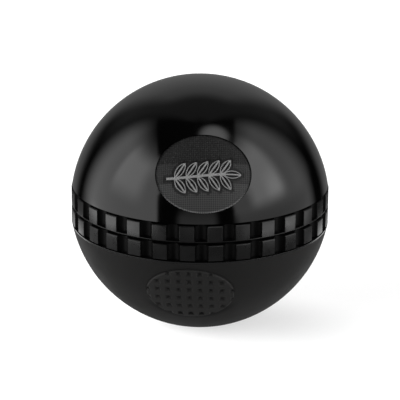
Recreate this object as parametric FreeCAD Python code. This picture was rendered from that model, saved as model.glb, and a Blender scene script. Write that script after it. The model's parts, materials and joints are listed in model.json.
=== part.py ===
"""Ball-shaped herb grinder, built as a stack of turned parts on the Z axis.

From the table up: a metal catch bowl in a rubber grip sleeve, with a sieve held inside it; a lower
plate that screws into the bowl; a low-friction ring; an upper plate that turns on that ring and
lifts off it, held by a pair of magnets; and a hollow storage dome that screws onto the upper
plate. Both plates hold rings of teeth and carry a row of square grips round the ball's equator.

Millimetres, +Z up. The origin is the centre of the flat foot. The front, where the dome's badge
is, faces -Y. Heights named *_Z are measured from the ball's centre, and every part is moved up by
FOOT_DROP when it is written. A bearing is an angle round the ball from the front, towards +X.
"""
import FreeCAD, Part
import math
import os

V = FreeCAD.Vector
UP = V(0, 0, 1)
SQUARE = ((1, 1), (-1, 1), (-1, -1), (1, -1))
CENTRE = V(0, 0, 0)

# Ball and foot. Each half's outside is part of a sphere with its centre in the other half, which
# makes the ball a little flatter than it is wide.
UPPER_R = 32.08
UPPER_CENTRE_Z = -0.5
LOWER_R = 32.3
LOWER_CENTRE_Z = 1.0
FOOT_R = 9.0
FOOT_DROP = math.sqrt(LOWER_R**2 - FOOT_R**2) - LOWER_CENTRE_Z
REST_GAP = 0.02

# Grip band round the equator
BAND_R = 31.8
BAND_TOP = 4.36
BAND_EDGE = 0.2
GRIP_COUNT = 30
FLUTE_R = 1.65
FLUTE_INSET = 0.25
GROOVE_R = 30.2
LIP_BOTTOM = 0.28
LIP_TOP = 0.60
LOWER_BAND_TOP = 0.43
FACE_GAP = 0.06
SHOULDER_R = 30.6
SHOULDER_Z = 4.73
RIM_Z = SHOULDER_Z + REST_GAP
LOWER_SHOULDER_Z = 4.53
LOWER_GRIP_BEARING = 0.4

# Screw necks, shared by the dome and the bowl
NECK_END = 9.3
NECK_R = 26.2
NECK_INNER_R = 25.0
BORE_R = 26.95
RIDGE_CLEARANCE = 0.15
THREAD_LEAD = 10.0
THREAD_STARTS = 4
RIDGE_ROOT = 1.3
RIDGE_CREST = 0.8
RIDGE_TURN = 60.0
RIDGE_RISE = THREAD_LEAD * RIDGE_TURN / 360
HALF_PITCH = THREAD_LEAD / THREAD_STARTS / 2
RIDGE_FIRST_Z = 5.5
RIDGE_BITE = 0.3

# Toothed plates
CEILING_Z = 6.0
PLATE = 2.6
LID_BORE_R = 25.5
WALL_R = 25.2
WALL_INNER_R = 23.6
WALL_TOP = 5.6
DROP_HOLE_R = 1.75

# Teeth
TOOTH_REACH = CEILING_Z + 5.5
TOOTH_HALF_LENGTH = 2.1
TOOTH_HALF_WIDTH = 1.15
TOOTH_TIP = 0.8
TOOTH_TIP_SCALE = 0.6
SHANK_R = 0.95
SHANK_LENGTH = 1.6
SHANK_FIT = 0.02
UPPER_TEETH = ((14.1, 10), (21.2, 14))
LOWER_TEETH = ((10.55, 8), (17.65, 12))

# Magnets and their screws
BOSS_R = 5.0
BOSS_FACE = 0.25
MAGNET_R = 4.0
MAGNET_FACE = 0.30
MAGNET_T = 2.0
POCKET_GAP = 0.05
SCREW_R = 1.45
SCREW_HEAD_R = 2.75
SCREW_LENGTH = 5.0
TAP_R = 1.5
KEY_R = 1.0
KEY_DEPTH = 0.8

# Friction ring
RING_R = 29.2
RING_INNER_R = 25.6
RING_T = 0.8

# Seals
SEAL_R = 28.2
SEAL_CORD_R = 0.44
SEAL_GROOVE_HALF = 0.6
SEAL_GROOVE_DEPTH = 0.9

# Dome and its badge
DOME_INNER_R = 30.1
RIM_EDGE = 0.15
BADGE_ELEVATION = 31.45
BADGE_BEARING = 1.2
BADGE_HALF_WIDTH = 11.3
BADGE_HALF_HEIGHT = 9.45
BADGE_POCKET_R = 31.53
BADGE_FACE_R = 31.78
BADGE_RELIEF_R = 32.03
BADGE_FIT = 0.04
STEM_START = -8.7
STEM_END = 5.2
STEM_WIDTH = 0.7
LEAF_PAIRS = 5
LEAF_SPACING = 2.65
LEAF_HALF_LENGTH = 2.2
LEAF_HALF_WIDTH = 1.0
LEAF_ANGLE = 55.0
SPRIG_DROP = -0.7

# Bowl
BOWL_R = 30.6
BOWL_INNER_R = 29.1
BOWL_FOOT_Z = 28.45
BOWL_FLOOR_Z = 26.95
BOWL_RIM_Z = LOWER_SHOULDER_Z + REST_GAP
BOWL_RIM_T = 0.40
SIEVE_BORE_R = 25.0
SIEVE_BORE_TOP = 10.2
SIEVE_SHELF_Z = 14.6
SIEVE_SHELF_R = 23.7

# Sieve
CLAMP_R = 24.9
CLAMP_INNER_R = 23.2
CLAMP_H = 1.5
CLAMP_SPLIT = 0.75
CLAMP_WALL_R = 24.4
MESH_R = 24.3
MESH_T = 0.3
MESH_PITCH = 1.6
MESH_HOLE = 1.0
MESH_EDGE_R = 23.0
SNAP_R = 24.75
SNAP_WIRE_R = 0.42
SNAP_GROOVE = 0.25
SNAP_GAP_ANGLE = 18.0

# Grip sleeve
SLEEVE_INNER_R = BOWL_R + 0.03
SLEEVE_TOP_Z = BOWL_RIM_Z + BOWL_RIM_T + REST_GAP
PAD_ELEVATION = -28.0
PAD_FRONT = -5.0
PAD_BACK = 175.0
PAD_HALF_WIDTH = 10.5
PAD_HALF_HEIGHT = 8.3
PAD_POCKET_R = 31.5
PAD_R = 32.85
PAD_EDGE = 0.45
PAD_FIT = 0.04
PIT_GRID_ELEVATION = 19.0
PIT_COLUMN_PITCH = 2.54
PIT_ROW_PITCH = 1.92
PIT_COLUMNS = 4
PIT_ROWS = 7
PIT_TOP_ROW = -16.5
PIT_HALF = 0.80
PIT_DEPTH = 0.50
PIT_OVERCUT = 3.0
PIT_EDGE = 1.0


# Shapes that several parts share

def at_height(radius, z):
    """Distance from the Z axis of a sphere's surface at height z above its centre."""
    return math.sqrt(radius**2 - z**2)


def polar(radius, bearing, z=0.0):
    """Point at a bearing from the front."""
    a = math.radians(bearing)
    return V(radius * math.sin(a), -radius * math.cos(a), z)


def turned(start, *steps):
    """Solid of revolution. A step is the next (r, z), or ("sphere", C, R, r, z) for an arc of radius
    R about the point of the axis at height C."""
    edges = []
    here = V(start[0], 0, start[1])
    for step in steps + (start,):
        there = V(step[-2], 0, step[-1])
        if there.distanceToPoint(here) < 1e-9:
            continue
        if step[0] == "sphere":
            centre = V(0, 0, step[1])
            middle = centre + (here + there - centre * 2).normalize() * step[2]
            edges.append(Part.Arc(here, middle, there).toShape())
        else:
            edges.append(Part.LineSegment(here, there).toShape())
        here = there
    return Part.Face(Part.Wire(edges)).revolve(CENTRE, UP, 360)


def around(shape, count, first=0.0):
    """Copies of a shape, evenly spaced round the Z axis."""
    copies = []
    for i in range(count):
        copy = shape.copy()
        copy.rotate(CENTRE, UP, first + i * 360.0 / count)
        copies.append(copy)
    return copies


def facing(shape, elevation, bearing):
    """Turns a shape built about the Z axis, with its up along +Y, to stand out of a sphere there."""
    shape.rotate(CENTRE, V(1, 0, 0), 90 - elevation)
    shape.rotate(CENTRE, UP, bearing)
    return shape


def raised(shape, height):
    """The shape moved up, from round the origin to round the centre of one half's sphere."""
    shape.translate(V(0, 0, height))
    return shape


def oval_column(half_width, half_height, height):
    """Column along +Z with an oval section."""
    if half_width > half_height:
        oval = Part.Ellipse(V(half_width, 0, 0), V(0, half_height, 0), CENTRE)
    else:
        oval = Part.Ellipse(V(0, half_height, 0), V(-half_width, 0, 0), CENTRE)
    return Part.Face(Part.Wire(oval.toShape())).extrude(V(0, 0, height))


def polygon_column(points, height):
    """Column along +Z over a list of (x, y) corners."""
    corners = [V(x, y, 0) for x, y in points]
    face = Part.Face(Part.makePolygon(corners + corners[:1]))
    return face.extrude(V(0, 0, height))


# Grip band

def flutes(bottom, top, bearing):
    """Round-bottomed cuts that leave the square grips between them."""
    cutter = Part.makeCylinder(FLUTE_R, top - bottom, polar(BAND_R + FLUTE_INSET, bearing, bottom))
    return around(cutter, GRIP_COUNT)


# Screw thread

def ridge(base_r, crest_r, first_z):
    """One helical thread ridge with a trapezoid section, between the two radii."""
    path = Part.makeHelix(THREAD_LEAD, RIDGE_RISE, base_r)
    section = Part.makePolygon([
        V(base_r, 0, -RIDGE_ROOT / 2),
        V(crest_r, 0, -RIDGE_CREST / 2),
        V(crest_r, 0, RIDGE_CREST / 2),
        V(base_r, 0, RIDGE_ROOT / 2),
        V(base_r, 0, -RIDGE_ROOT / 2),
    ])
    solid = Part.Wire(path).makePipeShell([section], True, True)
    solid.translate(V(0, 0, first_z))
    return solid


def neck_ridges(first_z):
    """Ridges that stand out from a neck."""
    return around(ridge(NECK_R - RIDGE_BITE, BORE_R - RIDGE_CLEARANCE, first_z), THREAD_STARTS)


def bore_ridges(first_z):
    """Ridges that stand into a bore."""
    return around(ridge(BORE_R + RIDGE_BITE, NECK_R + RIDGE_CLEARANCE, first_z), THREAD_STARTS)


# Teeth

def tooth():
    """Diamond tooth along +Z with a round shank below its base, which is at the origin."""
    diamond = [
        (-TOOTH_HALF_LENGTH, 0),
        (0, -TOOTH_HALF_WIDTH),
        (TOOTH_HALF_LENGTH, 0),
        (0, TOOTH_HALF_WIDTH),
    ]
    shoulder = TOOTH_REACH - TOOTH_TIP
    outlines = []
    for scale, z in ((1, REST_GAP), (1, shoulder), (TOOTH_TIP_SCALE, TOOTH_REACH)):
        corners = [V(x * scale, y * scale, z) for x, y in diamond]
        outlines.append(Part.makePolygon(corners + corners[:1]))
    blade = Part.makeLoft(outlines[:2], True, True)
    tip = Part.makeLoft(outlines[1:], True, True)
    shank = Part.makeCylinder(SHANK_R, SHANK_LENGTH + 2 * REST_GAP, V(0, 0, -SHANK_LENGTH))
    return blade.multiFuse([tip, shank])


def in_rings(shape, rings):
    """The same shape at every place of the given (radius, count) rings."""
    copies = []
    for radius, count in rings:
        moved = shape.copy()
        moved.translate(V(0, -radius, 0))
        copies += around(moved, count, 180.0 / count)
    return copies


def lower_teeth():
    """The lower plate's teeth, which stand up from its floor."""
    teeth = Part.makeCompound(in_rings(tooth(), LOWER_TEETH))
    teeth.translate(V(0, 0, -CEILING_Z))
    return teeth


def upper_teeth():
    """The upper plate's teeth, which hang from its ceiling between the lower ones."""
    hanging = tooth()
    hanging.rotate(CENTRE, V(1, 0, 0), 180)
    teeth = Part.makeCompound(in_rings(hanging, UPPER_TEETH))
    teeth.translate(V(0, 0, CEILING_Z))
    return teeth


def shank_holes(rings, bottom):
    """Blind holes for the teeth's shanks."""
    depth = SHANK_LENGTH + SHANK_FIT
    return in_rings(Part.makeCylinder(SHANK_R + SHANK_FIT, depth, V(0, 0, bottom)), rings)


# Parts

def upper_grinding_plate():
    """Upper plate: neck for the dome, grip band, ceiling with holes for teeth, magnet's boss."""
    plate_top = CEILING_Z + PLATE
    solid = turned(
        (0, plate_top),
        (NECK_INNER_R, plate_top),
        (NECK_INNER_R, NECK_END),
        (NECK_R, NECK_END),
        (NECK_R, SHOULDER_Z),
        (SHOULDER_R, SHOULDER_Z),
        (SHOULDER_R, BAND_TOP),
        (BAND_R - BAND_EDGE, BAND_TOP),
        (BAND_R, BAND_TOP - BAND_EDGE),
        (BAND_R, LIP_BOTTOM + BAND_EDGE),
        (BAND_R - BAND_EDGE, LIP_BOTTOM),
        (GROOVE_R, LIP_BOTTOM),
        (GROOVE_R, FACE_GAP),
        (RING_R + POCKET_GAP, FACE_GAP),
        (RING_R + POCKET_GAP, RING_T - FACE_GAP + 2 * REST_GAP),
        (LID_BORE_R, RING_T - FACE_GAP + 2 * REST_GAP),
        (LID_BORE_R, CEILING_Z),
        (BOSS_R, CEILING_Z),
        (BOSS_R, BOSS_FACE),
        (MAGNET_R + POCKET_GAP, BOSS_FACE),
        (MAGNET_R + POCKET_GAP, MAGNET_FACE + MAGNET_T + REST_GAP),
        (TAP_R, MAGNET_FACE + MAGNET_T + REST_GAP),
        (TAP_R, MAGNET_FACE + SCREW_LENGTH + REST_GAP),
        (0, MAGNET_FACE + SCREW_LENGTH + REST_GAP),
    )
    solid = solid.multiFuse(neck_ridges(RIDGE_FIRST_Z + HALF_PITCH))
    cuts = flutes(LIP_TOP, BAND_TOP + FLUTE_R, 0) + shank_holes(UPPER_TEETH, CEILING_Z)
    return solid.cut(cuts)


def drop_holes():
    """Holes through the lower plate, under the rings of the upper teeth."""
    hole = Part.makeCylinder(DROP_HOLE_R, 2 * PLATE, V(0, 0, -CEILING_Z - 1.5 * PLATE))
    return in_rings(hole, UPPER_TEETH)


def lower_grinding_plate():
    """Lower plate: chamber wall, floor with drop holes and holes for teeth, grip band, neck."""
    plate_bottom = -CEILING_Z - PLATE
    solid = turned(
        (0, plate_bottom),
        (NECK_INNER_R, plate_bottom),
        (NECK_INNER_R, -NECK_END),
        (NECK_R, -NECK_END),
        (NECK_R, -LOWER_SHOULDER_Z),
        (SEAL_R - SEAL_GROOVE_HALF, -LOWER_SHOULDER_Z),
        (SEAL_R - SEAL_GROOVE_HALF, SEAL_GROOVE_DEPTH - LOWER_SHOULDER_Z),
        (SEAL_R + SEAL_GROOVE_HALF, SEAL_GROOVE_DEPTH - LOWER_SHOULDER_Z),
        (SEAL_R + SEAL_GROOVE_HALF, -LOWER_SHOULDER_Z),
        (SHOULDER_R, -LOWER_SHOULDER_Z),
        (SHOULDER_R, -BAND_TOP),
        (BAND_R - BAND_EDGE, -BAND_TOP),
        (BAND_R, BAND_EDGE - BAND_TOP),
        (BAND_R, -LOWER_BAND_TOP - BAND_EDGE),
        (BAND_R - BAND_EDGE, -LOWER_BAND_TOP),
        (GROOVE_R, -LOWER_BAND_TOP),
        (GROOVE_R, -FACE_GAP),
        (WALL_R, -FACE_GAP),
        (WALL_R, WALL_TOP - BAND_EDGE),
        (WALL_R - BAND_EDGE, WALL_TOP),
        (WALL_INNER_R + BAND_EDGE, WALL_TOP),
        (WALL_INNER_R, WALL_TOP - BAND_EDGE),
        (WALL_INNER_R, -CEILING_Z),
        (BOSS_R, -CEILING_Z),
        (BOSS_R, -BOSS_FACE),
        (MAGNET_R + POCKET_GAP, -BOSS_FACE),
        (MAGNET_R + POCKET_GAP, -MAGNET_FACE - MAGNET_T - REST_GAP),
        (TAP_R, -MAGNET_FACE - MAGNET_T - REST_GAP),
        (TAP_R, -MAGNET_FACE - SCREW_LENGTH - REST_GAP),
        (0, -MAGNET_FACE - SCREW_LENGTH - REST_GAP),
    )
    solid = solid.multiFuse(neck_ridges(-RIDGE_FIRST_Z - RIDGE_RISE - HALF_PITCH))
    cuts = flutes(-BAND_TOP - FLUTE_R, -FACE_GAP, LOWER_GRIP_BEARING) + drop_holes()
    cuts += shank_holes(LOWER_TEETH, -CEILING_Z - SHANK_LENGTH - SHANK_FIT)
    return solid.cut(cuts)


def friction_ring():
    """Flat low-friction ring that carries the upper plate on the lower one."""
    bottom = REST_GAP - FACE_GAP
    outer = Part.makeCylinder(RING_R, RING_T, V(0, 0, bottom))
    return outer.cut(Part.makeCylinder(RING_INNER_R, RING_T, V(0, 0, bottom)))


def magnet():
    """Disc magnet with a countersunk hole, its face up at MAGNET_FACE below the equator."""
    return turned(
        (SCREW_R + POCKET_GAP, -MAGNET_FACE - MAGNET_T),
        (MAGNET_R, -MAGNET_FACE - MAGNET_T),
        (MAGNET_R, -MAGNET_FACE),
        (SCREW_HEAD_R + POCKET_GAP, -MAGNET_FACE),
        (SCREW_R + POCKET_GAP, -MAGNET_FACE - SCREW_HEAD_R + SCREW_R),
    )


def magnet_screw():
    """Countersunk screw with a hexagon socket, its head level with the magnet's face."""
    solid = turned(
        (0, -MAGNET_FACE),
        (SCREW_HEAD_R, -MAGNET_FACE),
        (SCREW_R, -MAGNET_FACE - SCREW_HEAD_R + SCREW_R),
        (SCREW_R, -MAGNET_FACE - SCREW_LENGTH),
        (0, -MAGNET_FACE - SCREW_LENGTH),
    )
    hexagon = [
        (KEY_R * math.cos(math.radians(60 * i)), KEY_R * math.sin(math.radians(60 * i)))
        for i in range(6)
    ]
    socket = polygon_column(hexagon, KEY_DEPTH)
    socket.translate(V(0, 0, -MAGNET_FACE - KEY_DEPTH))
    return solid.cut(socket)


def turned_over(shape):
    """The same shape above the equator."""
    shape.rotate(CENTRE, V(1, 0, 0), 180)
    return shape


def seal_ring(middle_z):
    """Round rubber cord in a seal groove."""
    return Part.makeTorus(SEAL_R, SEAL_CORD_R, V(0, 0, middle_z))


def upper_dome():
    """Hollow storage dome, with a bore for the neck, a seal groove and the badge's pocket."""
    rim_r = at_height(UPPER_R, RIM_Z - UPPER_CENTRE_Z)
    edge_z = RIM_Z + RIM_EDGE
    bore_top = at_height(DOME_INNER_R, BORE_R) + UPPER_CENTRE_Z
    solid = turned(
        (BORE_R, RIM_Z),
        (SEAL_R - SEAL_GROOVE_HALF, RIM_Z),
        (SEAL_R - SEAL_GROOVE_HALF, RIM_Z + SEAL_GROOVE_DEPTH),
        (SEAL_R + SEAL_GROOVE_HALF, RIM_Z + SEAL_GROOVE_DEPTH),
        (SEAL_R + SEAL_GROOVE_HALF, RIM_Z),
        (rim_r - RIM_EDGE, RIM_Z),
        (at_height(UPPER_R, edge_z - UPPER_CENTRE_Z), edge_z),
        ("sphere", UPPER_CENTRE_Z, UPPER_R, 0, UPPER_CENTRE_Z + UPPER_R),
        (0, UPPER_CENTRE_Z + DOME_INNER_R),
        ("sphere", UPPER_CENTRE_Z, DOME_INNER_R, BORE_R, bore_top),
    )
    solid = solid.multiFuse(bore_ridges(RIDGE_FIRST_Z))
    column = oval_column(BADGE_HALF_WIDTH, BADGE_HALF_HEIGHT, 2 * UPPER_R)
    pocket = column.cut(Part.makeSphere(BADGE_POCKET_R))
    return solid.cut(raised(facing(pocket, BADGE_ELEVATION, BADGE_BEARING), UPPER_CENTRE_Z))


def shell_piece(column, inner_r, outer_r):
    """What a column along +Z shares with a spherical shell."""
    return column.common(Part.makeSphere(outer_r)).cut(Part.makeSphere(inner_r))


def sprig():
    """Plain herb sprig: a straight stem, a leaf at its end and pairs of leaves along it."""
    height = 2 * UPPER_R
    corner = V(STEM_START, -STEM_WIDTH / 2, 0)
    pieces = [Part.makeBox(STEM_END - STEM_START, STEM_WIDTH, height, corner)]
    for i in range(LEAF_PAIRS):
        foot = V(STEM_END - (i + 0.5) * LEAF_SPACING, 0, 0)
        for side in (1, -1):
            leaf = oval_column(LEAF_HALF_LENGTH, LEAF_HALF_WIDTH, height)
            leaf.translate(V(LEAF_HALF_LENGTH, 0, 0))
            leaf.rotate(CENTRE, UP, side * LEAF_ANGLE)
            leaf.translate(foot)
            pieces.append(leaf)
    end = oval_column(LEAF_HALF_LENGTH, LEAF_HALF_WIDTH, height)
    end.translate(V(STEM_END + LEAF_HALF_LENGTH - STEM_WIDTH, 0, 0))
    pieces.append(end)
    whole = pieces[0].multiFuse(pieces[1:])
    whole.translate(V(0, SPRIG_DROP, 0))
    return whole


def emblem_badge():
    """Curved oval plate in the dome's pocket, with a raised sprig."""
    plate = oval_column(BADGE_HALF_WIDTH - BADGE_FIT, BADGE_HALF_HEIGHT - BADGE_FIT, 2 * UPPER_R)
    back_r = BADGE_POCKET_R + REST_GAP
    badge = shell_piece(plate, back_r, BADGE_FACE_R)
    badge = badge.fuse(shell_piece(sprig(), back_r, BADGE_RELIEF_R))
    return raised(facing(badge, BADGE_ELEVATION, BADGE_BEARING), UPPER_CENTRE_Z)


def snap_groove_z():
    """Height of the sieve's snap ring."""
    return -SIEVE_SHELF_Z + CLAMP_H + 2 * REST_GAP + SNAP_WIRE_R


def lower_bowl():
    """Catch bowl: bare metal rim, bore for the neck, and a shelf and groove for the sieve."""
    rim_bottom = -BOWL_RIM_Z - BOWL_RIM_T
    foot_r = at_height(BOWL_R, BOWL_FOOT_Z + LOWER_CENTRE_Z)
    floor_r = at_height(BOWL_INNER_R, BOWL_FLOOR_Z + LOWER_CENTRE_Z)
    snap_z = snap_groove_z()
    groove_half = SNAP_WIRE_R + POCKET_GAP
    solid = turned(
        (0, -BOWL_FOOT_Z),
        (foot_r, -BOWL_FOOT_Z),
        ("sphere", LOWER_CENTRE_Z, BOWL_R, at_height(BOWL_R, rim_bottom - LOWER_CENTRE_Z), rim_bottom),
        (at_height(LOWER_R, rim_bottom - LOWER_CENTRE_Z), rim_bottom),
        (at_height(LOWER_R, BOWL_RIM_Z + LOWER_CENTRE_Z), -BOWL_RIM_Z),
        (BORE_R, -BOWL_RIM_Z),
        (BORE_R, -SIEVE_BORE_TOP),
        (SIEVE_BORE_R, -SIEVE_BORE_TOP),
        (SIEVE_BORE_R, snap_z + groove_half),
        (SIEVE_BORE_R + SNAP_GROOVE, snap_z + groove_half),
        (SIEVE_BORE_R + SNAP_GROOVE, snap_z - groove_half),
        (SIEVE_BORE_R, snap_z - groove_half),
        (SIEVE_BORE_R, -SIEVE_SHELF_Z),
        (SIEVE_SHELF_R, -SIEVE_SHELF_Z),
        (SIEVE_SHELF_R, LOWER_CENTRE_Z - at_height(BOWL_INNER_R, SIEVE_SHELF_R)),
        ("sphere", LOWER_CENTRE_Z, BOWL_INNER_R, floor_r, -BOWL_FLOOR_Z),
        (0, -BOWL_FLOOR_Z),
    )
    return solid.multiFuse(bore_ridges(-RIDGE_FIRST_Z - RIDGE_RISE))


def sieve_lower_ring():
    """Lower half of the sieve's clamp, a stepped ring with a seat for the mesh."""
    bottom = -SIEVE_SHELF_Z + REST_GAP
    seat = bottom + CLAMP_SPLIT - MESH_T / 2
    return turned(
        (CLAMP_INNER_R, bottom),
        (CLAMP_R, bottom),
        (CLAMP_R, bottom + CLAMP_H),
        (CLAMP_WALL_R, bottom + CLAMP_H),
        (CLAMP_WALL_R, seat),
        (CLAMP_INNER_R, seat),
    )


def sieve_upper_ring():
    """Upper half of the clamp, pressed into the lower one on top of the mesh."""
    top = -SIEVE_SHELF_Z + REST_GAP + CLAMP_H
    seat = top - CLAMP_H + CLAMP_SPLIT + MESH_T / 2 + 2 * REST_GAP
    return turned(
        (CLAMP_INNER_R, seat),
        (CLAMP_WALL_R - REST_GAP, seat),
        (CLAMP_WALL_R - REST_GAP, top),
        (CLAMP_INNER_R, top),
    )


def sieve_mesh():
    """Sieve screen with a square grid of square holes."""
    bottom = -SIEVE_SHELF_Z + 2 * REST_GAP + CLAMP_SPLIT - MESH_T / 2
    wires = [Part.Wire(Part.makeCircle(MESH_R, V(0, 0, bottom)))]
    half = MESH_HOLE / 2
    reach = int(MESH_EDGE_R / MESH_PITCH)
    for i in range(-reach, reach + 1):
        for j in range(-reach, reach + 1):
            x = i * MESH_PITCH
            y = j * MESH_PITCH
            if math.hypot(abs(x) + half, abs(y) + half) < MESH_EDGE_R:
                corners = [V(x + half * a, y + half * b, bottom) for a, b in SQUARE]
                wires.append(Part.makePolygon(corners + corners[:1]))
    return Part.makeFace(wires, "Part::FaceMakerBullseye").extrude(V(0, 0, MESH_T))


def sieve_snap_ring():
    """Open ring of spring wire that holds the sieve down."""
    circle = Part.makeCircle(SNAP_WIRE_R, V(SNAP_R, 0, snap_groove_z()), V(0, 1, 0))
    ring = Part.Face(Part.Wire(circle)).revolve(CENTRE, UP, 360 - SNAP_GAP_ANGLE)
    ring.rotate(CENTRE, UP, 90 + SNAP_GAP_ANGLE / 2)
    return ring


def pad_column(fit):
    """Oval column along the pad's own axis."""
    return oval_column(PAD_HALF_WIDTH - fit, PAD_HALF_HEIGHT - fit, 2 * LOWER_R)


def grip_pad(bearing):
    """Oval grip pad that stands proud of the sleeve, with a round edge and rows of square pits."""
    solid = shell_piece(pad_column(PAD_FIT), PAD_POCKET_R + REST_GAP, PAD_R)
    rim = [e for e in solid.Edges if e.Vertexes[0].Point.Length > PAD_R - REST_GAP]
    solid = solid.makeFillet(PAD_EDGE, rim)
    return raised(facing(solid, PAD_ELEVATION, bearing).cut(pits(bearing)), LOWER_CENTRE_Z)


def pad_pocket(bearing):
    """Space for a grip pad in the sleeve."""
    pocket = pad_column(0).cut(Part.makeSphere(PAD_POCKET_R))
    return raised(facing(pocket, PAD_ELEVATION, bearing), LOWER_CENTRE_Z)


def pits(bearing):
    """Pits whose centres stand on a flat upright grid, and whose axes point at the origin."""
    cutters = []
    for i in range(-PIT_COLUMNS, PIT_COLUMNS + 1):
        for j in range(PIT_ROWS):
            x = i * PIT_COLUMN_PITCH
            y = PIT_TOP_ROW - j * PIT_ROW_PITCH
            grid_point = V(x, y, math.sqrt(PAD_R**2 - x**2 - y**2))
            place = facing(Part.Vertex(grid_point), PIT_GRID_ELEVATION, 0).Point
            elevation = math.degrees(math.asin(place.z / PAD_R))
            side = math.degrees(math.atan2(place.x, -place.y))
            if on_pad(elevation, side):
                cutters.append(facing(pit(), elevation, side + bearing))
    return cutters


def on_pad(elevation, side):
    """Whether a direction from the origin meets the pad, clear of its edge or above it."""
    point = facing(Part.Vertex(V(0, 0, PAD_R)), elevation, side).Point
    tilt = math.radians(PAD_ELEVATION)
    height = point.z * math.cos(tilt) + point.y * math.sin(tilt)
    return math.hypot(point.x / PAD_HALF_WIDTH, height / (PAD_HALF_HEIGHT + PIT_EDGE)) < 1


def pit():
    """Square pyramid cutter along +Z, its point PIT_DEPTH under the pad's face."""
    half = PIT_HALF * PIT_OVERCUT
    top = PAD_R + PIT_DEPTH * (PIT_OVERCUT - 1)
    base = [V(half * a, half * b, top) for a, b in SQUARE]
    point = V(0, 0, PAD_R - PIT_DEPTH)
    faces = [Part.Face(Part.makePolygon(base + base[:1]))]
    for k in range(4):
        faces.append(Part.Face(Part.makePolygon([base[k], base[(k + 1) % 4], point, base[k]])))
    return Part.Solid(Part.Shell(faces))


def grip_sleeve():
    """Rubber sleeve over the bowl, with the flat foot and pockets for the grip pads."""
    floor_z = BOWL_FOOT_Z + POCKET_GAP
    floor_r = at_height(SLEEVE_INNER_R, floor_z + LOWER_CENTRE_Z)
    top = SLEEVE_TOP_Z + LOWER_CENTRE_Z
    solid = turned(
        (0, -FOOT_DROP),
        (FOOT_R, -FOOT_DROP),
        ("sphere", LOWER_CENTRE_Z, LOWER_R, at_height(LOWER_R, top), -SLEEVE_TOP_Z),
        (at_height(SLEEVE_INNER_R, top), -SLEEVE_TOP_Z),
        ("sphere", LOWER_CENTRE_Z, SLEEVE_INNER_R, floor_r, -floor_z),
        (0, -floor_z),
    )
    return solid.cut([pad_pocket(PAD_FRONT), pad_pocket(PAD_BACK)])


PARTS = {
    "upper_dome": upper_dome,
    "emblem_badge": emblem_badge,
    "upper_seal_ring": lambda: seal_ring(RIM_Z + SEAL_GROOVE_DEPTH / 2),
    "upper_grinding_plate": upper_grinding_plate,
    "upper_teeth": upper_teeth,
    "lid_magnet": lambda: turned_over(magnet()),
    "lid_magnet_screw": lambda: turned_over(magnet_screw()),
    "friction_ring": friction_ring,
    "lower_grinding_plate": lower_grinding_plate,
    "lower_teeth": lower_teeth,
    "base_magnet": magnet,
    "base_magnet_screw": magnet_screw,
    "lower_seal_ring": lambda: seal_ring(SEAL_GROOVE_DEPTH / 2 - LOWER_SHOULDER_Z),
    "lower_bowl": lower_bowl,
    "sieve_lower_ring": sieve_lower_ring,
    "sieve_mesh": sieve_mesh,
    "sieve_upper_ring": sieve_upper_ring,
    "sieve_snap_ring": sieve_snap_ring,
    "grip_sleeve": grip_sleeve,
    "grip_pad_front": lambda: grip_pad(PAD_FRONT),
    "grip_pad_back": lambda: grip_pad(PAD_BACK),
}


def main():
    os.makedirs("parts", exist_ok=True)
    for name, make in PARTS.items():
        shape = make()
        shape.translate(V(0, 0, FOOT_DROP))
        print(name, "solids", len(shape.Solids), "valid", shape.isValid(), "mm3", round(shape.Volume, 1))
        shape.exportStep(f"parts/{name}.step")


main()
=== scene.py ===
"""Looks of the ball-shaped herb grinder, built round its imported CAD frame.

Metres, +Z up, the front faces -Y. A bearing is an angle round the ball from the front towards +X.
The turned metal and rubber pieces keep their CAD shapes and get their materials here. The dome's
badge, with its engraving and raised herb sprig, is built here in finer detail than in CAD.
"""

import json
import math

import bpy
import numpy as np
from mathutils import Matrix, Vector


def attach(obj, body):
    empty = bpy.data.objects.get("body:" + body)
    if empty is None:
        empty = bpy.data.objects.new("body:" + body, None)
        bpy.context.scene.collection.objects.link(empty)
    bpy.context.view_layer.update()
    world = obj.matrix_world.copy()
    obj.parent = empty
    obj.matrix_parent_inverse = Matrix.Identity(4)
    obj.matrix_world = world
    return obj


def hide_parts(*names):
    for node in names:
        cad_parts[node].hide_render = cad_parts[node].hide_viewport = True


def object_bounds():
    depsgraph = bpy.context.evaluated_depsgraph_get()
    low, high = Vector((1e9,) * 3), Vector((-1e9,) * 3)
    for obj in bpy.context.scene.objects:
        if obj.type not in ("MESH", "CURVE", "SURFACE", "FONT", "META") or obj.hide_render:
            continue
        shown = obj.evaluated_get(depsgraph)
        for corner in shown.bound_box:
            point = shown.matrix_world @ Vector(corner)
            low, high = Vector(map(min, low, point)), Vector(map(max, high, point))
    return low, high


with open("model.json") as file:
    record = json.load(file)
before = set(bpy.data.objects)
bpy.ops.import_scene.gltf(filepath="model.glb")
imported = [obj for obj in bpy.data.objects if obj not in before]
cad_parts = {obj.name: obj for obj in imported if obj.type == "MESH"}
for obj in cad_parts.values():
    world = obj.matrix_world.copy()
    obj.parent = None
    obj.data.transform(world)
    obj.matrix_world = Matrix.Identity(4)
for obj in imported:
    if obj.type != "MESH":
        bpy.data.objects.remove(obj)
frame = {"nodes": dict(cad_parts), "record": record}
CAD_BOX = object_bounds()
NODES = frame["nodes"]
MM = 0.001

# The ball. The dome's sphere has its centre a little below the ball's, and the bowl's a little above.
UPPER_R = 32.08 * MM
UPPER_DROP = 0.5 * MM
LOWER_RISE = 1.0 * MM
CENTRE = Vector((0, 0, CAD_BOX[1].z - UPPER_R + UPPER_DROP))
DOME_CENTRE = CENTRE - Vector((0, 0, UPPER_DROP))
BOWL_CENTRE = CENTRE + Vector((0, 0, LOWER_RISE))
BAND_R = 31.8 * MM

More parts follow.
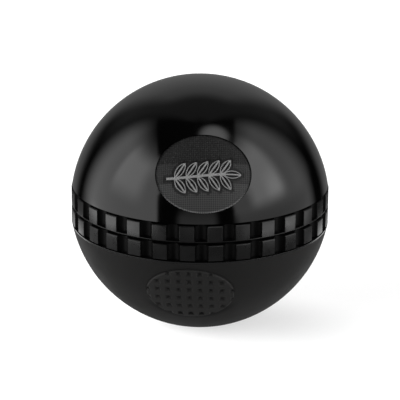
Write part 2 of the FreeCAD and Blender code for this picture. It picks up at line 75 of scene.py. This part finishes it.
# Pads: the front one, and the same turned half round the ball.
PAD_R = 32.85 * MM
PAD_ELEVATION = -28.0
PAD_BEARING = -5.0
PAD_HALF_WIDTH = 10.5 * MM
PAD_HALF_HEIGHT = 8.3 * MM
PIT_DEPTH = 0.50 * MM

# Camera
CAMERA_DISTANCE = 0.4889
CAMERA_ELEVATION = 18.8
CAMERA_BEARING = -0.45
CAMERA_ROLL = 0.31
CAMERA_RISE = 0.17 * MM
LENS = 177.1
SENSOR = 36.0

# Badge
BADGE_ELEVATION = 31.45
BADGE_BEARING = 1.2
BADGE_HALF_WIDTH = 11.25 * MM
BADGE_HALF_HEIGHT = 9.40 * MM
BADGE_FACE_R = 31.78 * MM
BADGE_RELIEF_R = 32.03 * MM
BADGE_BACK_R = 31.57 * MM
BADGE_CELLS = 290
BADGE_BACK_RINGS = 6
HATCH_PITCH = 0.50 * MM
HATCH_DEPTH = 0.05 * MM
PASS_HALF_HEIGHT = 2.4 * MM
PASS_SOFTNESS = 0.05 * MM
MOAT_DEPTH = 0.10 * MM
MOAT_WIDTH = 0.80 * MM
MOAT_INNER = 0.05 * MM
STEM_START = -8.7 * MM
STEM_END = 5.2 * MM
STEM_HALF_WIDTH = 0.35 * MM
STEM_BEND = 0.5 * MM
LEAF_PAIRS = 5
LEAF_SPACING = 2.65 * MM
LEAF_HALF_LENGTH = 2.2 * MM
LEAF_HALF_WIDTH = 1.0 * MM
LEAF_FULLNESS = 0.8
LEAF_ANGLE = 55.0
LEAF_RIM = 0.24 * MM
LEAF_RIB = 0.16 * MM
SPRIG_DROP = -0.7 * MM
EDGE_SOFTNESS = 0.11 * MM
SHARP_ANGLE = 50

# Floor
FLOOR_HALF = 1.5
FLOOR_GAP = 0.02 * MM
FLOOR_ALBEDO = 0.33
FLOOR_ALBEDO_SPREAD = 0.02
FLOOR_GLOW = 0.64
FLOOR_LIGHT_ELEVATION = 20
FLOOR_LIGHT_DISTANCE = 1.0
FLOOR_LIGHT_SIZE = 0.7

# Lit patches round the ball. Each has its strength, its two bearings, its two heights, how soft its
# two sides are, and how soft its foot and top are. All angles are in degrees.
LEFT_BOX = (1.5, (-118, 40), (-12, 49), (13, 3), (8, 13))
RIGHT_BOX = (1.0, (-20, 115), (4, 62), (4, 14), (6, 12))
PATCHES = (
    (1.1, (-91, -58), (13, 43), (4, 8), (9, 8)),  # bright middle of the left box
    (1.5, (48, 84), (10, 56), (6, 8), (6, 12)),  # bright middle of the right box
    (0.9, (66, 82), (12, 27), (7, 5), (6, 10)),  # brightest corner of the right box
    (0.7, (33, 116), (-12, 4), (3, 8), (4, 6)),  # foot of the right box
    (4.0, (-108, -46), (-16, -8), (8, 5), (3, 4)),  # low strip that lights the grips from the left
    (3.4, (44, 104), (-17, -9), (5, 8), (3, 4)),  # the same from the right
    (0.5, (-19, 14), (-10, 8), (4, 4), (4, 6)),  # small box below the camera
    (0.35, (-125, -46), (-38, -20), (10, 5), (8, 4)),  # paper to the left
    (0.15, (44, 125), (-38, -20), (5, 10), (8, 4)),  # paper to the right
    (0.2, (-40, 40), (-36, -10), (12, 12), (8, 4)),  # paper in front
    (0.5, (-200, 200), (-76, -40), (1, 1), (6, 8)),  # paper under the ball
)
# Behind the ball, the same on both sides.
BACK_PATCHES = (
    (0.3, (152, 190), (6, 52), (10, 2), (10, 8)),  # wall
    (0.22, (140, 190), (-22, 6), (8, 2), (6, 10)),  # foot of the wall
    (0.12, (126, 190), (20, 84), (14, 2), (14, 6)),  # ceiling
    (1.4, (130, 165), (-38, -21), (8, 8), (5, 3)),  # paper
)
# Where the two boxes end on the ball, as shares of its radius to the side.
LEFT_BOX_END = (-0.340, -0.315)
RIGHT_BOX_START = (0.240, 0.270)
TOP_LIGHT_ELEVATION = 75
TOP_LIGHT_BEARING = 44
TOP_LIGHT_OUTER = 14
TOP_LIGHT_INNER = 5
TOP_LIGHT_STRENGTH = 1.9


def from_ball(elevation, bearing):
    """Direction from the ball's centre, in degrees above the equator and round from the front."""
    e, b = math.radians(elevation), math.radians(bearing)
    return Vector((math.sin(b) * math.cos(e), -math.cos(b) * math.cos(e), math.sin(e)))


def axes_at(elevation, bearing):
    """Right, up and outward directions at that place of the ball."""
    out = from_ball(elevation, bearing)
    right = Vector((0, 0, 1)).cross(out).normalized()
    return right, out.cross(right), out


# Node helpers

class Nodes:
    """A small builder for one node tree."""

    def __init__(self, tree):
        self.tree = tree
        tree.nodes.clear()

    def add(self, kind, inputs=None, **settings):
        """A node with its settings, and inputs that are either values or other nodes' outputs."""
        node = self.tree.nodes.new(kind)
        for key, value in settings.items():
            setattr(node, key, value)
        for key, value in (inputs or {}).items():
            if isinstance(value, bpy.types.NodeSocket):
                self.tree.links.new(value, node.inputs[key])
            else:
                node.inputs[key].default_value = value
        return node

    def math(self, operation, a, b=0.0):
        return self.add("ShaderNodeMath", {0: a, 1: b}, operation=operation).outputs[0]

    def vector(self, operation, a, b=(0, 0, 0)):
        """Vector arithmetic. A length or a dot product comes out as a number."""
        node = self.add("ShaderNodeVectorMath", {0: a, 1: b}, operation=operation)
        return node.outputs["Value" if operation in ("LENGTH", "DOT_PRODUCT") else "Vector"]

    def split(self, vector):
        axes = self.add("ShaderNodeSeparateXYZ", {0: vector})
        return tuple(axes.outputs)

    def span(self, value, low, high, to_low=0.0, to_high=1.0):
        """Value carried smoothly from low..high to to_low..to_high, held at both ends."""
        inputs = {0: value, 1: low, 2: high, 3: to_low, 4: to_high}
        return self.add("ShaderNodeMapRange", inputs, interpolation_type="SMOOTHSTEP").outputs[0]

    def noise(self, where, scale, detail=3.0, roughness=0.55):
        inputs = {"Vector": where, "Scale": scale, "Detail": detail, "Roughness": roughness}
        return self.add("ShaderNodeTexNoise", inputs).outputs["Fac"]

    def blend(self, factor, a, b):
        """Colour a where factor is 0, and b where it is 1."""
        node = self.add("ShaderNodeMix", data_type="RGBA")
        for socket, value in ((node.inputs[0], factor), (node.inputs[6], a), (node.inputs[7], b)):
            if isinstance(value, bpy.types.NodeSocket):
                self.tree.links.new(value, socket)
            elif isinstance(value, tuple):
                socket.default_value = (*value, 1)
            else:
                socket.default_value = value
        return node.outputs[2]

    def stretched(self, where, scale):
        return self.add("ShaderNodeMapping", {"Vector": where, "Scale": scale}).outputs[0]

    def bump(self, height, depth, normal=None):
        inputs = {"Height": height, "Distance": depth, "Strength": 1.0}
        if normal is not None:
            inputs["Normal"] = normal
        return self.add("ShaderNodeBump", inputs).outputs[0]

    def soft_edge(self, radius, samples=4):
        """The surface's normal, as if its edges were rounded to that radius."""
        return self.add("ShaderNodeBevel", {"Radius": radius}, samples=samples).outputs[0]

    def in_oval(self, offset, elevation, bearing, half_width, half_height):
        """Height above an oval's middle, and its squared distance out: 1 on the oval's edge."""
        right, up, _ = axes_at(elevation, bearing)
        side = self.vector("DOT_PRODUCT", offset, right)
        height = self.vector("DOT_PRODUCT", offset, up)
        squares = [self.math("POWER", self.math("DIVIDE", distance, half), 2.0)
                   for distance, half in ((side, half_width), (height, half_height))]
        return height, self.math("ADD", *squares)


def new_material(name, paint):
    """A material whose Principled sockets are what paint(nodes, place) returns."""
    material = bpy.data.materials.new(name)
    material.use_nodes = True
    nodes = Nodes(material.node_tree)
    place = nodes.add("ShaderNodeTexCoord").outputs["Object"]
    shader = nodes.add("ShaderNodeBsdfPrincipled", paint(nodes, place))
    output = nodes.add("ShaderNodeOutputMaterial")
    nodes.tree.links.new(shader.outputs[0], output.inputs["Surface"])
    return material


def grey(value, warmth=0.0):
    return (value * (1 + warmth), value, value * (1 - warmth))


# Materials

def dome_gloss(n, place):
    """Polished black anodising, with faint turning lines and a slight haze."""
    haze = n.noise(place, 55.0)
    lines = n.noise(n.stretched(place, (30, 30, 2600)), 1.0, 2.0)
    wear = n.math("ADD", haze, n.math("MULTIPLY", lines, 0.3))
    return {
        "Base Color": n.blend(haze, grey(0.0010), grey(0.0030)),
        "Roughness": n.span(wear, 0.4, 0.9, 0.07, 0.11),
        "Normal": n.bump(lines, 0.0006 * MM),
    }


def plate_black(n, place):
    """Satin black anodised grips and plates, with softened edges and a bead-blasted grain. The
    grips' outer faces are the glossiest, and shade as if slightly crowned."""
    grain = n.noise(place, 5200.0, 2.0)
    cloud = n.noise(place, 260.0)
    radius = n.vector("LENGTH", n.vector("MULTIPLY", place, (1, 1, 0)))
    face = n.span(radius, BAND_R - 0.30 * MM, BAND_R - 0.08 * MM)
    above = n.math("SUBTRACT", n.split(place)[2], CENTRE.z)
    lean = n.math("MULTIPLY", face, n.math("DIVIDE", above, BAND_R))
    crown = n.add("ShaderNodeCombineXYZ", {2: lean}).outputs[0]
    crowned = n.vector("ADD", n.soft_edge(0.10 * MM, 6), crown)
    sheen = n.span(n.math("ADD", cloud, n.math("MULTIPLY", grain, 0.4)), 0.4, 1.0, 0.24, 0.34)
    return {
        "Base Color": n.blend(cloud, grey(0.0010), grey(0.0035)),
        "Roughness": n.math("SUBTRACT", n.math("ADD", sheen, 0.22), n.math("MULTIPLY", face, 0.22)),
        "Specular IOR Level": n.span(face, 0, 1, 0.12, 0.5),
        "Normal": n.bump(grain, 0.004 * MM, crowned),
    }


def bowl_black(n, place):
    """Gloss black anodised bowl, turned."""
    lines = n.noise(n.stretched(place, (40, 40, 4200)), 1.0, 2.0)
    return {
        "Base Color": n.blend(lines, grey(0.002), grey(0.005)),
        "Roughness": n.span(lines, 0.3, 0.7, 0.18, 0.26),
        "Normal": n.bump(lines, 0.001 * MM, n.soft_edge(0.12 * MM, 6)),
    }


def rubber(n, place, dark, light, rough):
    """Moulded rubber: fine sand-like grain, with slow patches of handling sheen."""
    grain = n.noise(place, 4200.0, 3.0, 0.65)
    cloud = n.noise(place, 120.0)
    speckle = n.math("MULTIPLY", cloud, grain)
    return {
        "Base Color": n.blend(speckle, grey(dark, 0.02), grey(light, 0.02)),
        "Roughness": n.span(cloud, 0.3, 0.7, rough - 0.05, rough + 0.05),
        "Specular IOR Level": 0.17,
        "Normal": n.bump(grain, 0.012 * MM, n.soft_edge(0.08 * MM)),
    }


def sleeve_rubber(n, place):
    """The sleeve's rubber, with painted shade just under the pads' lower edges, where their lips would
    shadow it. The back half is turned to the front first, so that one oval serves both pads."""
    paint = rubber(n, place, 0.015, 0.033, 0.62)
    offset = n.vector("SUBTRACT", place, BOWL_CENTRE)
    forward = n.math("SIGN", n.math("MULTIPLY", n.split(offset)[1], -1.0))
    half_turn = n.add("ShaderNodeCombineXYZ", {0: forward, 1: forward, 2: 1.0}).outputs[0]
    height, squared = n.in_oval(n.vector("MULTIPLY", offset, half_turn),
                                PAD_ELEVATION, PAD_BEARING, PAD_HALF_WIDTH, PAD_HALF_HEIGHT)
    # painted shade: the sleeve goes nearly black in a band just below each pad's lower edge
    near = n.span(n.math("SQRT", squared), 1.08, 1.28, 1.0, 0.0)
    painted_shade_under_pads = n.math("MULTIPLY", near, n.span(height, -3.5 * MM, -7 * MM))
    paint["Base Color"] = n.blend(painted_shade_under_pads, paint["Base Color"], grey(0.002))
    return paint


def pad_rubber(n, place):
    """The pads' rubber, a little greyer, with painted shade in its pits and along the lower edge where
    it turns under.
    """
    paint = rubber(n, place, 0.025, 0.048, 0.60)
    offset = n.vector("SUBTRACT", place, BOWL_CENTRE)
    radius = n.vector("LENGTH", offset)
    height = n.split(offset)[2]
    # painted shade: darker towards the bottom of each pit
    pit_painted_shade = n.span(radius, PAD_R - 0.02 * MM, PAD_R - PIT_DEPTH, 0.0, 0.65)
    # painted shade along the pad's lower edge, where the surface turns under
    underside_shade_band = n.span(radius, PAD_R - 0.02 * MM, PAD_R - 0.20 * MM)
    under = n.math("MULTIPLY", underside_shade_band, n.span(height, -20 * MM, -21 * MM))
    paint["Base Color"] = n.blend(n.math("MAXIMUM", pit_painted_shade, under), paint["Base Color"], grey(0.004))
    return paint


def seal_rubber(n, place):
    """Smooth moulded cord with a dull bloom."""
    cloud = n.noise(place, 900.0)
    return {
        "Base Color": n.blend(cloud, grey(0.012), grey(0.03)),
        "Roughness": n.span(cloud, 0.3, 0.7, 0.38, 0.55),
        "Normal": n.bump(n.noise(place, 6000.0), 0.003 * MM),
    }


def badge_matt(n, place):
    """Matt engraved plate in three machined passes, with a lighter raised sprig. It has painted
    highlights on the sprig's rims and the plate's lower edge, and painted shade in its cuts.
    """
    offset = n.vector("SUBTRACT", place, DOME_CENTRE)
    radius = n.vector("LENGTH", offset)
    height, squared = n.in_oval(offset, BADGE_ELEVATION, BADGE_BEARING,
                                BADGE_HALF_WIDTH, BADGE_HALF_HEIGHT)
    pass_start = PASS_HALF_HEIGHT - PASS_SOFTNESS
    pass_end = PASS_HALF_HEIGHT + PASS_SOFTNESS
    upper_pass = n.span(height, pass_start, pass_end)
    lower_pass = n.span(height, -pass_start, -pass_end)
    fleck = n.noise(place, 3600.0, 4.0, 0.7)
    field = n.blend(lower_pass, n.blend(upper_pass, grey(0.020), grey(0.011)), grey(0.066))
    flecked = n.blend(n.span(fleck, 0.40, 0.80), field, grey(0.070))
    # painted highlight: a light grey line along the badge's lower edge
    lower_rim_highlight = n.math("MULTIPLY", n.span(squared, 0.92, 0.96), n.span(height, -3.5 * MM, -6.5 * MM))
    with_lower_rim_highlight = n.blend(lower_rim_highlight, flecked, grey(0.30))
    # painted shade: the hatch cuts and the moat round the sprig darken towards black with depth
    cut_painted_shade = n.span(radius, BADGE_FACE_R - HATCH_DEPTH, BADGE_FACE_R - 0.2 * HATCH_DEPTH, 0.75, 0)
    engraved = n.blend(cut_painted_shade, with_lower_rim_highlight, grey(0.002))
    on_sprig = n.span(radius, BADGE_FACE_R + 0.08 * MM, BADGE_FACE_R + 0.16 * MM)
    # the sprig is lighter, and painted highlight makes its sloping rims brighter than its top
    top = n.span(radius, BADGE_RELIEF_R - 0.06 * MM, BADGE_RELIEF_R - 0.01 * MM)
    sprig_tone_and_rim_highlight = n.blend(top, grey(0.20), n.blend(n.span(fleck, 0.3, 0.7), grey(0.26), grey(0.46)))
    return {
        "Base Color": n.blend(on_sprig, engraved, sprig_tone_and_rim_highlight),
        "Roughness": n.span(fleck, 0.3, 0.7, 0.5, 0.68),
        "Specular IOR Level": n.span(upper_pass, 0, 1, 0.45, 0.25),
        "Normal": n.bump(fleck, 0.02 * MM),
    }


def metal(n, place, colour, low, high, stretch):
    """Bare metal with a fine directional finish."""
    lines = n.noise(n.stretched(place, stretch), 1.0, 3.0)
    cloud = n.noise(place, 200.0)
    darker = tuple(0.82 * c for c in colour)
    return {
        "Base Color": n.blend(cloud, darker, colour),
        "Metallic": 1.0,
        "Roughness": n.span(lines, 0.3, 0.7, low, high),
        "Normal": n.bump(lines, 0.0015 * MM, n.soft_edge(0.08 * MM)),
    }


def steel(n, place):
    return metal(n, place, (0.60, 0.60, 0.61), 0.20, 0.34, (300, 300, 7000))


def sieve_steel(n, place):
    return metal(n, place, (0.62, 0.61, 0.59), 0.24, 0.38, (6000, 500, 500))


def magnet_nickel(n, place):
    return metal(n, place, (0.72, 0.71, 0.68), 0.10, 0.20, (900, 900, 900))


def ring_plastic(n, place):
    """Natural white low-friction plastic."""
    cloud = n.noise(place, 350.0)
    return {
        "Base Color": n.blend(cloud, (0.74, 0.73, 0.68), (0.85, 0.84, 0.80)),
        "Roughness": n.span(cloud, 0.3, 0.7, 0.34, 0.46),
        "Normal": n.bump(n.noise(n.stretched(place, (60, 60, 5000)), 1.0), 0.002 * MM),
    }


PAINTS = (dome_gloss, plate_black, bowl_black, sleeve_rubber, pad_rubber, seal_rubber, badge_matt,
          steel, sieve_steel, magnet_nickel, ring_plastic)


# Badge

def ramp(value, low, high):
    """0 below low and 1 above high, with a smooth rise between."""
    t = np.clip((value - low) / (high - low), 0, 1)
    return t * t * (3 - 2 * t)


def leaf_places():
    """Root and lean of each leaf along the stem, and of the one at its tip."""
    for i in range(LEAF_PAIRS):
        for side in (1, -1):
            yield STEM_END - (i + 0.5) * LEAF_SPACING, side * math.radians(LEAF_ANGLE)
    yield STEM_END - 2 * STEM_HALF_WIDTH, 0.0


def stem_y(x):
    """Height of the stem's bent middle line on the badge."""
    return SPRIG_DROP + STEM_BEND * np.sin(x / STEM_END)


def sprig_height(x, y):
    """How raised the sprig is, 0 to 1, and how far outside it a point is.

    Its leaves are hollow between their rims and their middle ribs."""
    past_ends = np.maximum(x - STEM_END, STEM_START - x)
    outside = np.maximum(abs(y - stem_y(x)) - STEM_HALF_WIDTH, past_ends)
    raised = ramp(-outside, -EDGE_SOFTNESS, EDGE_SOFTNESS)
    for root, lean in leaf_places():
        c, s = math.cos(lean), math.sin(lean)
        dx, dy = x - root, y - stem_y(root)
        along = dx * c + dy * s - LEAF_HALF_LENGTH
        across = -dx * s + dy * c
        half = LEAF_HALF_WIDTH * np.clip(1 - (along / LEAF_HALF_LENGTH) ** 2, 0, 1) ** LEAF_FULLNESS
        edge = np.maximum(abs(across) - half, abs(along) - LEAF_HALF_LENGTH)
        inside = ramp(-edge, LEAF_RIM, LEAF_RIM + EDGE_SOFTNESS)
        beside_rib = ramp(abs(across), LEAF_RIB, LEAF_RIB + EDGE_SOFTNESS)
        leaf = ramp(-edge, -EDGE_SOFTNESS, EDGE_SOFTNESS) * (1 - inside * beside_rib)
        raised = np.maximum(raised, leaf)
        outside = np.minimum(outside, edge)
    return raised, outside


def badge_radius(x, y):
    """Distance of the badge's face from the dome's centre."""
    raised, outside = sprig_height(x, y)
    hatch = np.cos(x * 2 * math.pi / HATCH_PITCH) + np.cos(y * 2 * math.pi / HATCH_PITCH)
    moat = ramp(-outside, -MOAT_WIDTH, -MOAT_INNER) * MOAT_DEPTH
    cut = HATCH_DEPTH * (0.5 - 0.25 * hatch) + moat
    return BADGE_FACE_R - cut * (1 - raised) + raised * (BADGE_RELIEF_R - BADGE_FACE_R)


def on_ball(x, y, radius):
    """Points at that radius from the dome's centre, over (x, y) on the badge's plane."""
    right, up, out = (np.array(a) for a in axes_at(BADGE_ELEVATION, BADGE_BEARING))
    depth = np.sqrt(np.maximum(radius**2 - x**2 - y**2, 0))
    return np.array(DOME_CENTRE) + x[:, None] * right + y[:, None] * up + depth[:, None] * out


def build_badge():
    """Closed plate: a fine square grid bent to an oval in front, a skirt and a plain back."""
    steps = np.linspace(-1, 1, BADGE_CELLS + 1)
    s, t = (a.ravel() for a in np.meshgrid(steps, steps))
    x = s * np.sqrt(1 - t**2 / 2) * BADGE_HALF_WIDTH
    y = t * np.sqrt(1 - s**2 / 2) * BADGE_HALF_HEIGHT
    points = [on_ball(x, y, badge_radius(x, y))]
    row = BADGE_CELLS + 1
    faces = []
    for j in range(BADGE_CELLS):
        start = j * row
        faces += [(start + i, start + i + 1, start + row + i + 1, start + row + i)
                  for i in range(BADGE_CELLS)]
    last = BADGE_CELLS
    rim = list(range(last)) + [last + row * j for j in range(last)]
    rim += [row * last + last - i for i in range(last)] + [row * (last - j) for j in range(last)]
    count = len(rim)
    previous, total = rim, row * row
    for k in range(BADGE_BACK_RINGS):
        scale = 1 - k / BADGE_BACK_RINGS
        points.append(on_ball(x[rim] * scale, y[rim] * scale, np.full(count, BADGE_BACK_R)))
        ring = list(range(total, total + count))
        faces += [(previous[i - 1], ring[i - 1], ring[i], previous[i])[::-1] for i in range(count)]
        previous, total = ring, total + count
    points.append(on_ball(np.zeros(1), np.zeros(1), np.full(1, BADGE_BACK_R)))
    faces += [(previous[i], previous[i - 1], total)[::-1] for i in range(count)]
    mesh = bpy.data.meshes.new("badge_plate")
    mesh.from_pydata(np.concatenate(points).tolist(), [], faces)
    mesh.polygons.foreach_set("use_smooth", [True] * len(faces))
    mesh.set_sharp_from_angle(angle=math.radians(SHARP_ANGLE))
    badge = bpy.data.objects.new("badge_plate", mesh)
    bpy.context.scene.collection.objects.link(badge)
    return badge


# Studio

def studio_world():
    """A white room for the camera, and lit patches for everything else.

    On the ball, a patch shows where the normal stands halfway between the light and the camera. So
    the left and right boxes, which end at a fixed sideways part of that normal, end upright there.
    """
    world = bpy.data.worlds.new("studio")
    bpy.context.scene.world = world
    world.use_nodes = True
    n = Nodes(world.node_tree)
    direction = n.add("ShaderNodeTexCoord").outputs["Generated"]
    x, y, z = n.split(direction)
    degree = math.degrees(1)
    bearing = n.math("MULTIPLY", n.math("ARCTAN2", x, n.math("MULTIPLY", y, -1.0)), degree)
    turned = n.math("ABSOLUTE", bearing)
    height = n.math("MULTIPLY", n.math("ARCSINE", z), degree)
    halfway = n.vector("ADD", direction, from_ball(CAMERA_ELEVATION, CAMERA_BEARING))
    aside = n.split(n.vector("NORMALIZE", halfway))[0]

    def window(value, low, high, soft_low, soft_high):
        rise = n.span(value, low - soft_low, low + soft_low)
        fall = n.span(value, high - soft_high, high + soft_high, 1.0, 0.0)
        return n.math("MULTIPLY", rise, fall)

    def patch(strength, across, up, soft_across, soft_up, of=bearing):
        lit = n.math("MULTIPLY", window(of, *across, *soft_across), window(height, *up, *soft_up))
        return n.math("MULTIPLY", lit, strength)

    lights = [n.math("MULTIPLY", n.span(aside, *LEFT_BOX_END, 1.0, 0.0), patch(*LEFT_BOX)),
              n.math("MULTIPLY", n.span(aside, *RIGHT_BOX_START), patch(*RIGHT_BOX))]
    lights += [patch(*row) for row in PATCHES]
    lights += [patch(*row, turned) for row in BACK_PATCHES]
    cosine = n.vector("DOT_PRODUCT", direction, from_ball(TOP_LIGHT_ELEVATION, TOP_LIGHT_BEARING))
    near_top = n.span(cosine, *(math.cos(math.radians(a)) for a in (TOP_LIGHT_OUTER, TOP_LIGHT_INNER)))
    total = n.math("MULTIPLY", near_top, TOP_LIGHT_STRENGTH)
    for light in lights:
        total = n.math("ADD", total, light)
    camera = n.add("ShaderNodeLightPath").outputs["Is Camera Ray"]
    room = n.add("ShaderNodeBackground", {"Color": (1, 1, 1, 1), "Strength": 1.0})
    boxes = n.add("ShaderNodeBackground", {"Color": (1, 1, 1, 1), "Strength": total})
    either = n.add("ShaderNodeMixShader", {0: camera, 1: boxes.outputs[0], 2: room.outputs[0]})
    output = n.add("ShaderNodeOutputWorld")
    n.tree.links.new(either.outputs[0], output.inputs["Surface"])


def studio_floor():
    """White paper under the ball. The world already holds what the ball reflects of it."""
    height = CAD_BOX[0].z - FLOOR_GAP
    corners = [(x * FLOOR_HALF, y * FLOOR_HALF, height) for x, y in ((-1, -1), (1, -1), (1, 1), (-1, 1))]
    mesh = bpy.data.meshes.new("floor")
    mesh.from_pydata(corners, [], [(0, 1, 2, 3)])
    floor = bpy.data.objects.new("floor", mesh)
    bpy.context.scene.collection.objects.link(floor)
    floor.visible_glossy = False
    floor.visible_diffuse = False

    def paper(n, place):
        fibre = n.noise(place, 900.0)
        return {
            "Base Color": n.blend(fibre, grey(FLOOR_ALBEDO), grey(FLOOR_ALBEDO + FLOOR_ALBEDO_SPREAD)),
            "Roughness": 0.9,
            "Specular IOR Level": 0.0,
            "Emission Color": (1, 1, 1, 1),
            "Emission Strength": FLOOR_GLOW,
        }

    mesh.materials.append(new_material("paper", paper))
    return floor


def place_facing_ball(thing, elevation, bearing, distance, aim=CENTRE, roll=0.0):
    """Put a lamp or a camera that far from aim, looking at it."""
    back = from_ball(elevation, bearing)
    turn = back.to_track_quat("Z", "Y").to_matrix().to_4x4()
    spin = Matrix.Rotation(math.radians(roll), 4, "Z")
    thing.matrix_world = Matrix.Translation(aim + distance * back) @ turn @ spin


def floor_light(name, bearing, power, floor):
    """A soft light that falls on the paper alone. The ball still casts its shadow in it."""
    data = bpy.data.lights.new(name, "AREA")
    data.shape = "DISK"
    data.size = FLOOR_LIGHT_SIZE
    data.energy = power
    light = bpy.data.objects.new(name, data)
    bpy.context.scene.collection.objects.link(light)
    place_facing_ball(light, FLOOR_LIGHT_ELEVATION, bearing, FLOOR_LIGHT_DISTANCE)
    receivers = bpy.data.collections.new(name + "_receivers")
    receivers.objects.link(floor)
    light.light_linking.receiver_collection = receivers


def studio_camera():
    """The camera looks at a point just above the ball's centre, with a slight roll."""
    data = bpy.data.cameras.new("camera")
    data.lens = LENS
    data.sensor_width = SENSOR
    camera = bpy.data.objects.new("camera", data)
    bpy.context.scene.collection.objects.link(camera)
    aim = CENTRE + Vector((0, 0, CAMERA_RISE))
    place_facing_ball(camera, CAMERA_ELEVATION, CAMERA_BEARING, CAMERA_DISTANCE, aim, CAMERA_ROLL)
    bpy.context.scene.camera = camera


# Assembly

def dress_nodes(materials):
    """Each CAD node takes the material of its slot in the record."""
    for part in frame["record"]["subparts"]:
        node = NODES[part["node"]]
        node.data.materials.clear()
        node.data.materials.append(materials[part["material_slot"]])


def main():
    bpy.context.scene.view_settings.view_transform = "Standard"
    materials = {paint.__name__: new_material(paint.__name__, paint) for paint in PAINTS}
    dress_nodes(materials)
    badge = build_badge()
    badge.data.materials.append(materials["badge_matt"])
    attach(badge, "dome")
    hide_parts("emblem_badge")
    studio_world()
    floor = studio_floor()
    floor_light("left_light", -60, 27, floor)
    floor_light("back_light", -150, 20, floor)
    studio_camera()


main()
